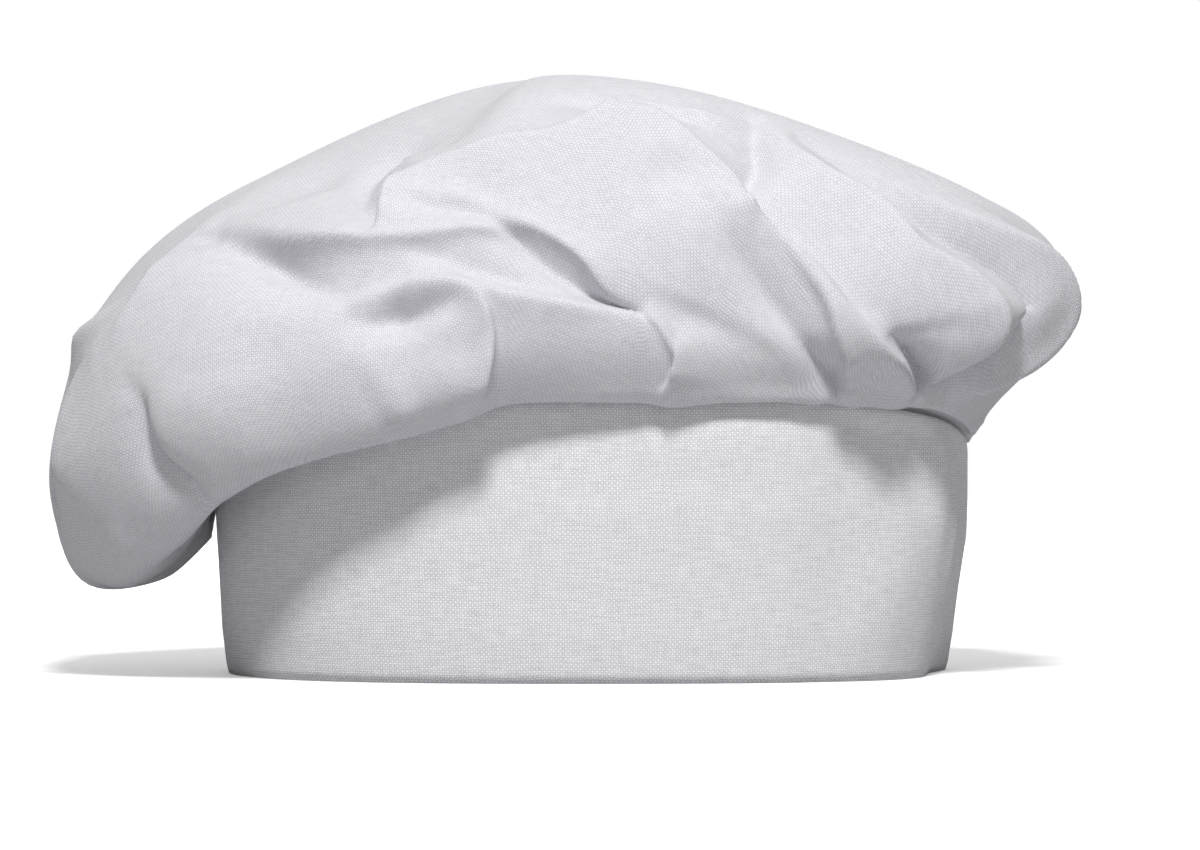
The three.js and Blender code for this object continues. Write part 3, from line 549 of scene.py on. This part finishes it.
def crown_lines(azimuth, rises):
    """The crown before its folds: points by azimuth and rise, and the mouth below the seam."""
    rows = closed_curve(CROWN_SECTIONS, azimuth)
    neck, under, reach, shoulder, dome = [rows[:, 2 * k : 2 * k + 2] for k in range(5)]
    seam = band_height(azimuth)
    way = band_oval(azimuth, 0) - np.array(POLE[:2])
    radius = np.hypot(way[:, 0], way[:, 1])
    way = way / radius[:, None]
    top = np.column_stack([np.zeros_like(radius), np.full_like(radius, POLE[2])])
    beyond = np.column_stack([-(radius + dome[:, 0]), dome[:, 1]])
    mouth = np.column_stack([radius - MOUTH_INSET, seam - TUCK_DEPTH])
    edge = np.column_stack([radius - MOUTH_INSET, seam + SEAM_RISE])
    cover = np.column_stack([radius + COVER_OUT, seam + COVER_RISE])
    out = np.column_stack([radius, np.zeros_like(radius)])
    knots = [mouth, edge, cover]
    knots += [out + pair for pair in (neck, under, reach, shoulder, dome)]
    knots = np.stack(knots + [top, beyond], 1)
    strides = np.sqrt(np.linalg.norm(np.diff(knots, axis=1), axis=2))
    at = np.column_stack([np.zeros_like(radius), np.cumsum(strides, 1)])
    pieces = []
    count = knots.shape[1]
    for k in range(1, count - 2):
        span = (at[:, k + 1] - at[:, k])[:, None]
        slope_here = (knots[:, k + 1] - knots[:, k - 1]) / (at[:, k + 1] - at[:, k - 1])[:, None]
        slope_next = (knots[:, k + 2] - knots[:, k]) / (at[:, k + 2] - at[:, k])[:, None]
        for t in np.arange(0, 1, 1 / SECTION_STEPS):
            pieces.append(
                (2 * t**3 - 3 * t**2 + 1) * knots[:, k]
                + (t**3 - 2 * t**2 + t) * span * slope_here
                + (3 * t**2 - 2 * t**3) * knots[:, k + 1]
                + (t**3 - t**2) * span * slope_next
            )
    pieces.append(top)
    line = np.stack(pieces, 1)
    run = np.cumsum(np.linalg.norm(np.diff(line, axis=1), axis=2), 1)
    run = np.column_stack([np.zeros_like(radius), run])
    grid = np.empty((len(azimuth), len(rises), 3))
    for i in range(len(azimuth)):
        wanted = rises * run[i, -1]
        far = np.interp(wanted, run[i], line[i, :, 0])
        grid[i, :, 0] = POLE[0] + far * way[i, 0]
        grid[i, :, 1] = POLE[1] + far * way[i, 1]
        grid[i, :, 2] = np.interp(wanted, run[i], line[i, :, 1])
    below = np.array(POLE[:2]) + way * mouth[:, :1]
    return grid, np.column_stack([below, mouth[:, 1]])


def grid_normals(grid):
    """Outward normals of the crown's grid, whose last row is the pole."""
    around = np.roll(grid, -1, 0) - np.roll(grid, 1, 0)
    upward = np.empty_like(grid)
    upward[:, 1:-1] = grid[:, 2:] - grid[:, :-2]
    upward[:, 0] = grid[:, 1] - grid[:, 0]
    upward[:, -1] = grid[:, -1] - grid[:, -2]
    normals = np.cross(around, upward)
    normals /= np.maximum(np.linalg.norm(normals, axis=2, keepdims=True), 1e-9)
    top = normals[:, -2].mean(0)
    normals[:, -1] = top / np.linalg.norm(top)
    return normals


def grid_at(field, azimuths, rises, azimuth, rise):
    """A field of the grid at any azimuth and rise."""
    turn = np.mod(azimuth, 360)
    closed = np.append(azimuths, azimuths[0] + 360)
    turn = np.where(turn < azimuths[0], turn + 360, turn)
    i = np.clip(np.searchsorted(closed, turn, side="right") - 1, 0, len(azimuths) - 1)
    j = np.clip(np.searchsorted(rises, rise, side="right") - 1, 0, len(rises) - 2)
    across = ((turn - closed[i]) / (closed[i + 1] - closed[i]))[:, None]
    up = np.clip((rise - rises[j]) / (rises[j + 1] - rises[j]), 0, 1)[:, None]
    k = (i + 1) % len(azimuths)
    low = field[i, j] * (1 - across) + field[k, j] * across
    high = field[i, j + 1] * (1 - across) + field[k, j + 1] * across
    return low * (1 - up) + high * up


def smooth_path(points, steps):
    """Evenly counted points of a smooth curve through the given ones."""
    knots = np.array(points, float)
    knots = np.vstack([2 * knots[0] - knots[1], knots, 2 * knots[-1] - knots[-2]])
    spans = len(knots) - 3
    place = np.linspace(0, spans, steps + 1)
    k = np.minimum(place.astype(int), spans - 1)
    t = (place - k)[:, None]
    a, b, c, d = knots[k], knots[k + 1], knots[k + 2], knots[k + 3]
    return 0.5 * (
        2 * b + (c - a) * t + (2 * a - 5 * b + 4 * c - d) * t**2 + (3 * b - a - 3 * c + d) * t**3
    )


def gather_folds():
    """Low crests that climb from the seam and drift sideways, with a deeper valley now and then."""
    folds = []
    for k in range(GATHER_COUNT):
        azimuth = GATHER_FIRST + k * GATHER_STEP
        reach = GATHER_REACHES[k % len(GATHER_REACHES)]
        drift = GATHER_DRIFT if k % 2 == 0 else -GATHER_DRIFT
        middle = (GATHER_START + reach) / 2
        path = [(azimuth, GATHER_START), (azimuth + drift / 2, middle), (azimuth + drift, reach)]
        height = (GATHER_HEIGHT, GATHER_HEIGHT, 0)
        width = (GATHER_WIDTH, GATHER_WIDTH * GATHER_WIDENING)
        folds.append(("gather", path, height, width, GATHER_LEAN, GATHER_ROUNDING, GATHER_LAP))
        if k % DEEP_VALLEY_EVERY == 1:
            start = azimuth + GATHER_STEP / 2
            last = (start - DEEP_VALLEY_DRIFT * drift, reach + DEEP_VALLEY_CLIMB)
            path = [(start, GATHER_START), (start - drift, reach), last]
            height = (DEEP_VALLEY_HEIGHT / 2, DEEP_VALLEY_HEIGHT, 0)
            width = (GATHER_WIDTH, GATHER_WIDTH * DEEP_VALLEY_WIDENING)
            folds.append(("gather valley", path, height, width, 0, DEEP_VALLEY_ROUNDING, 0))
    return folds


def three_step(values, t):
    """A value along a fold, by its start, middle and end."""
    start, middle, end = values
    first = start + (middle - start) * ease(t * 2)
    return np.where(t < 0.5, first, middle + (end - middle) * ease(t * 2 - 1))


def fold_stations(fold, grid, normals, azimuths, rises):
    """Places, normals and left-hand sides along a fold, drawn on the crown laid out as a disc."""
    disc = []
    for azimuth, rise in fold[1]:
        turn = math.radians(azimuth)
        disc.append(((1 - rise) * math.cos(turn), (1 - rise) * math.sin(turn)))
    spots = smooth_path(disc, PATH_STEPS)
    azimuth = np.degrees(np.arctan2(spots[:, 1], spots[:, 0]))
    rise = 1 - np.hypot(spots[:, 0], spots[:, 1])
    place = grid_at(grid, azimuths, rises, azimuth, rise)
    normal = grid_at(normals, azimuths, rises, azimuth, rise)
    normal /= np.linalg.norm(normal, axis=1, keepdims=True)
    side = np.cross(normal, np.gradient(place, axis=0))
    side /= np.linalg.norm(side, axis=1, keepdims=True)
    return place, normal, side


def nearest_on_path(points, stations):
    """For each point: distance, way from the path, and the path's side, normal and share there."""
    place, normal, side = stations
    apart = (points**2).sum(1)[:, None] + (place**2).sum(1)[None] - 2 * points @ place.T
    closest = np.argmin(apart, 1)
    best = np.full(len(points), np.inf)
    away = np.zeros_like(points)
    share = np.zeros(len(points))
    for step in (-1, 0):
        k = np.clip(closest + step, 0, len(place) - 2)
        along = place[k + 1] - place[k]
        gap = points - place[k]
        t = np.clip((gap * along).sum(1) / (along * along).sum(1), 0, 1)
        gap = gap - along * t[:, None]
        distance = np.linalg.norm(gap, axis=1)
        nearer = distance < best
        best[nearer] = distance[nearer]
        away[nearer] = gap[nearer]
        share[nearer] = (k + t)[nearer]
    k = np.minimum(share.astype(int), len(place) - 2)
    t = (share - k)[:, None]
    side_here = side[k] * (1 - t) + side[k + 1] * t
    normal_here = normal[k] * (1 - t) + normal[k + 1] * t
    return best, away, side_here, normal_here, share / (len(place) - 1)


def folded(grid, azimuths, rises, folds):
    """Moves the grid by all folds together. Crests that meet merge, and so do valleys."""
    normals = grid_normals(grid)
    points, facing = grid.reshape(-1, 3), normals.reshape(-1, 3)
    up, down = np.zeros(len(points)), np.zeros(len(points))
    aside = np.zeros_like(points)
    for fold in folds:
        _, _, height, width, lean, rounding, lap = fold
        stations = fold_stations(fold, grid, normals, azimuths, rises)
        low, high = stations[0].min(0) - FOLD_RANGE, stations[0].max(0) + FOLD_RANGE
        near = np.where(((points > low) & (points < high)).all(1))[0]
        distance, away, side, normal, share = nearest_on_path(points[near], stations)
        tall = three_step(height, share)
        turn = (away * side).sum(1) / np.maximum(distance, 1e-6)
        reach = (width[0] + (width[1] - width[0]) * share) * (1 + lean * turn)
        rounded = np.hypot(distance, rounding) - rounding
        same_side = np.clip((facing[near] * normal).sum(1) / FACING_RANGE, 0, 1)
        strength = np.exp(-rounded / reach) * same_side
        up[near] += (np.maximum(tall, 0) * strength) ** MERGING
        down[near] += (np.maximum(-tall, 0) * strength) ** MERGING
        carried = lap * np.clip(tall / max(abs(h) for h in height), 0, 1) * strength**LAP_NARROWING
        aside[near] -= side * carried[:, None]
    hold = ease(rises / SEAM_HOLD) * np.minimum((1 - rises) / POLE_HOLD, 1)
    hold = np.tile(hold, len(azimuths))[:, None]
    lift = (up ** (1 / MERGING) - down ** (1 / MERGING))[:, None]
    return (points + (facing * lift + aside) * hold).reshape(grid.shape)


def evened(grid):
    """Moves each point towards the middle of its four neighbours."""
    middle = (np.roll(grid, 1, 0) + np.roll(grid, -1, 0)) / 2
    result = grid.copy()
    between = (middle[:, 1:-1] + (grid[:, 2:] + grid[:, :-2]) / 2) / 2
    result[:, 1:-1] += EVENING_SHARE * (between - grid[:, 1:-1])
    return result


def beside_band(grid):
    """Holds the hanging cloth a little way off the band."""
    along = grid[..., 0] / (BAND_LONG / 2 + BESIDE_BAND)
    across = grid[..., 1] / (BAND_WIDE / 2 + BESIDE_BAND)
    azimuth = np.degrees(np.arctan2(grid[..., 1] / BAND_WIDE, grid[..., 0] / BAND_LONG))
    reach = np.hypot(along, across) / fullness(azimuth)
    hangs = (reach < 1) & (grid[..., 2] < band_height(azimuth))
    hangs[:, :SEWN_ROWS] = False
    grow = np.where(hangs, 1 / np.maximum(reach, 1e-6), 1)
    result = grid.copy()
    result[..., 0] *= grow
    result[..., 1] *= grow
    return result


def crown_azimuths():
    """Lines close together over the front, where the picture shows the cloth, and wider behind."""
    front = np.arange(FRONT_FROM, FRONT_TO, FRONT_STEP)
    back_room = 360 - (FRONT_TO - FRONT_FROM)
    back_count = round(back_room / BACK_STEP / 2) * 2
    back = FRONT_TO + np.arange(back_count) * back_room / back_count
    return np.concatenate([front, back])


def cloth_lengths(grid):
    """How far each grid point is round the crown from the first line, and down from the pole."""
    closed = np.concatenate([grid, grid[:1]])
    across = np.linalg.norm(np.diff(closed, axis=0), axis=2)
    across = np.concatenate([np.zeros((1, grid.shape[1])), np.cumsum(across, 0)])
    along = np.linalg.norm(np.diff(grid, axis=1), axis=2)
    along = np.column_stack([along, np.zeros(len(grid))])
    along = np.cumsum(along[:, ::-1], 1)[:, ::-1]
    return across, np.concatenate([along, along[:1]])


# The cloth's map: how many lines share a chart, and where the pole lies on it, in metres
CHART_LINES = 24
CHART_POLE = 0.5


def crown_mesh():
    """The crown's closed wall, with every second line and every third row on its inside."""
    azimuths = crown_azimuths()
    rises = (np.arange(CROWN_ROWS + 1) / CROWN_ROWS) ** SEAM_CROWDING
    grid, mouth = crown_lines(azimuths, rises)
    grid = folded(grid, azimuths, rises, CROWN_FOLDS + gather_folds())
    grid[:, -1] = grid[:, -2].mean(0)
    for _ in range(EVENING_PASSES):
        grid = evened(grid)
    grid = beside_band(grid)
    lines, rows = len(azimuths), CROWN_ROWS
    normals = grid_normals(grid)
    inside = (grid - normals * CROWN_WALL)[::INSIDE_LINE_STEP, ::INSIDE_ROW_STEP]
    inside[:, -1] = grid[0, -1] - normals[0, -1] * CROWN_WALL
    inner_mouth = mouth[::INSIDE_LINE_STEP].copy()
    inner_mouth[:, :2] += (inside[:, 0] - grid[::INSIDE_LINE_STEP, 0])[:, :2]
    outer = np.vstack([mouth, grid[:, :-1].transpose(1, 0, 2).reshape(-1, 3), grid[:1, -1]])
    inner_lines, inner_rows = inside.shape[0], inside.shape[1] - 1
    inner = np.vstack(
        [inner_mouth, inside[:, :-1].transpose(1, 0, 2).reshape(-1, 3), inside[:1, -1]]
    )
    across, along = cloth_lengths(grid)
    faces, corners = [], []
    pole = len(outer) - 1

    def flat_spot(line, row, centre):
        """Where a grid point lies on the flat cloth, in the chart laid out from line centre."""
        row = max(row, 0)
        wide = across[line, row] - across[centre, row]
        if centre == 0 and line > lines / 2:
            wide = across[line, row] - across[lines, row]
        turn = math.radians(azimuths[centre % lines])
        far = along[line, row]
        return (
            CHART_POLE + (far * math.cos(turn) - wide * math.sin(turn)) * MILLIMETRE,
            CHART_POLE + (far * math.sin(turn) + wide * math.cos(turn)) * MILLIMETRE,
        )

    for i in range(lines):
        k = (i + 1) % lines
        centre = int(round(i / CHART_LINES)) * CHART_LINES
        if centre >= lines:
            centre = 0
        for r in range(rows):
            low, high = r * lines, (r + 1) * lines
            faces.append((low + i, low + k, high + k, high + i))
            corners += [
                flat_spot(i, r - 1, centre),
                flat_spot(i + 1, r - 1, centre),
                flat_spot(i + 1, r, centre),
                flat_spot(i, r, centre),
            ]
        faces.append((rows * lines + i, rows * lines + k, pole))
        corners += [
            flat_spot(i, rows - 1, centre),
            flat_spot(i + 1, rows - 1, centre),
            flat_spot(i, rows, centre),
        ]
    first = len(outer)
    inner_pole = first + len(inner) - 1
    for i in range(inner_lines):
        k = (i + 1) % inner_lines
        here, there = i * INSIDE_LINE_STEP, (i + 1) * INSIDE_LINE_STEP
        for r in range(inner_rows):
            low, high = first + r * inner_lines, first + (r + 1) * inner_lines
            faces.append((low + k, low + i, high + i, high + k))
            row = INSIDE_ROW_STEP * r
            corners += [
                flat_spot(there, row - INSIDE_ROW_STEP, here),
                flat_spot(here, row - INSIDE_ROW_STEP, here),
                flat_spot(here, row, here),
                flat_spot(there, row, here),
            ]
        low = first + inner_rows * inner_lines
        faces.append((low + k, low + i, inner_pole))
        corners += [
            flat_spot(there, rows - INSIDE_ROW_STEP, here),
            flat_spot(here, rows - INSIDE_ROW_STEP, here),
            (CHART_POLE, CHART_POLE),
        ]
        between, beyond = (here + 1) % lines, there % lines
        faces += [
            (between, here, first + i),
            (between, first + i, first + k),
            (beyond, between, first + k),
        ]
        corners += [flat_spot(here, 0, here)] * 9
    return smooth_mesh("crown_cloth", np.vstack([outer, inner]), faces, corners)


crown = crown_mesh()
# The crown's cotton is the band's same cotton painted darker, as painted shade over the whole crown, and
# its gap colour is painted shade between the threads
crown_cotton = cotton(
    "crown cotton with painted shade",
    painted_gap_shade=(0.41, 0.40, 0.44, 1),
    thread_colour=(0.775, 0.765, 0.795, 1),
    turn=30,
    unevenness=0.3,
)
crown.data.materials.append(crown_cotton)
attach(crown, "root")
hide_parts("crown")

# Floor, light and camera
# A pale floor in a white studio, with all sizes in metres. One soft light stands high in front,
# and weaker ones hang overhead and stand behind and low in front. The room's own light fills the
# rest.
FLOOR_REACH = 6.0
FLOOR_DROP = 0.0002
FLOOR_GLOW_FROM = 0.25
FLOOR_GLOW_TO = 1.2
FLOOR_GLOW_NEAR = 0.3
FLOOR_TO_THE_HAT = (0.5, 0.5, 0.51, 1)
FLOOR_TO_THE_EYE = (0.93, 0.93, 0.93, 1)
WHITE = (1, 1, 1, 1)
ROOM_LIGHT = 0.24
ROOM_TO_THE_EYE = 1.0
LIGHTS_AIM = (0, 0, 0.08)

# Lights: name, place, size and power
LIGHTS = [
    ("key light", (0.05, -1.25, 1.5), 0.3, 32),
    ("top light", (0, -0.1, 1.6), 0.9, 2),
    ("back light", (0.1, 1.8, 0.6), 1.4, 14),
    ("front light", (-0.15, -1.7, 0.35), 0.5, 1.2),
]


def floor_paint():
    """Pale and plain, with a glow that grows with distance, so that the floor has no far edge."""
    material = bpy.data.materials.new("floor paint")
    material.use_nodes = True
    nodes, links = material.node_tree.nodes, material.node_tree.links
    paint = nodes["Principled BSDF"]
    paint.inputs["Roughness"].default_value = 1
    paint.inputs["Specular IOR Level"].default_value = 0
    paint.inputs["Emission Color"].default_value = WHITE
    seen = nodes.new("ShaderNodeLightPath")
    shade = nodes.new("ShaderNodeMix")
    shade.data_type = "RGBA"
    shade.inputs["A"].default_value = FLOOR_TO_THE_HAT
    shade.inputs["B"].default_value = FLOOR_TO_THE_EYE
    links.new(seen.outputs["Is Camera Ray"], shade.inputs["Factor"])
    links.new(shade.outputs["Result"], paint.inputs["Base Color"])
    place = nodes.new("ShaderNodeTexCoord")
    length = nodes.new("ShaderNodeVectorMath")
    length.operation = "LENGTH"
    links.new(place.outputs["Object"], length.inputs[0])
    far = nodes.new("ShaderNodeMapRange")
    far.inputs["From Min"].default_value = FLOOR_GLOW_FROM
    far.inputs["From Max"].default_value = FLOOR_GLOW_TO
    far.inputs["To Min"].default_value = FLOOR_GLOW_NEAR
    far.interpolation_type = "SMOOTHSTEP"
    links.new(length.outputs["Value"], far.inputs["Value"])
    glow = nodes.new("ShaderNodeMath")
    glow.operation = "MULTIPLY"
    links.new(far.outputs["Result"], glow.inputs[0])
    links.new(seen.outputs["Is Camera Ray"], glow.inputs[1])
    links.new(glow.outputs[0], paint.inputs["Emission Strength"])
    return material


floor_mesh = bpy.data.meshes.new("floor")
floor_corners = []
for x, y in [(-1, -1), (1, -1), (1, 1), (-1, 1)]:
    floor_corners.append((x * FLOOR_REACH, y * FLOOR_REACH, -FLOOR_DROP))
floor_mesh.from_pydata(floor_corners, [], [(0, 1, 2, 3)])
floor_mesh.materials.append(floor_paint())
floor = bpy.data.objects.new("floor", floor_mesh)
bpy.context.scene.collection.objects.link(floor)

world = bpy.data.worlds.new("studio")
bpy.context.scene.world = world
world.use_nodes = True
room = world.node_tree.nodes["Background"]
room.inputs["Color"].default_value = WHITE
room_seen = world.node_tree.nodes.new("ShaderNodeLightPath")
room_strength = world.node_tree.nodes.new("ShaderNodeMix")
room_strength.inputs["A"].default_value = ROOM_LIGHT
room_strength.inputs["B"].default_value = ROOM_TO_THE_EYE
world.node_tree.links.new(room_seen.outputs["Is Camera Ray"], room_strength.inputs["Factor"])
world.node_tree.links.new(room_strength.outputs["Result"], room.inputs["Strength"])

for name, place, size, power in LIGHTS:
    lamp = bpy.data.lights.new(name, "AREA")
    lamp.size = size
    lamp.energy = power
    stand = bpy.data.objects.new(name, lamp)
    bpy.context.scene.collection.objects.link(stand)
    stand.location = place
    aim = Vector(LIGHTS_AIM) - Vector(place)
    stand.rotation_euler = aim.to_track_quat("-Z", "Y").to_euler()

# The camera stands where the picture was taken from, a little above the rim, and looks level. Its
# place is in metres, its sensor in millimetres, and its picture in pixels.
PICTURE_WIDTH = 1200
PICTURE_HEIGHT = 850
HORIZON_ROW = 463
CAMERA_AWAY = 1.3
CAMERA_HEIGHT = 0.055
CAMERA_ASIDE = 0.0021
PIXELS_PER_MILLIMETRE = 3.77
SENSOR = 36
lens = bpy.data.cameras.new("camera")
lens.sensor_width = SENSOR
lens.lens = PIXELS_PER_MILLIMETRE * CAMERA_AWAY / MILLIMETRE / PICTURE_WIDTH * SENSOR
lens.shift_y = (HORIZON_ROW - PICTURE_HEIGHT / 2) / PICTURE_WIDTH
camera = bpy.data.objects.new("camera", lens)
bpy.context.scene.collection.objects.link(camera)
camera_place = np.array([CAMERA_ASIDE, -CAMERA_AWAY, CAMERA_HEIGHT])
camera.location = into_frame([(0, 0, 0)])[0] + camera_place
camera.rotation_euler = (math.pi / 2, 0, 0)
bpy.context.scene.camera = camera
bpy.context.scene.view_settings.view_transform = "Standard"
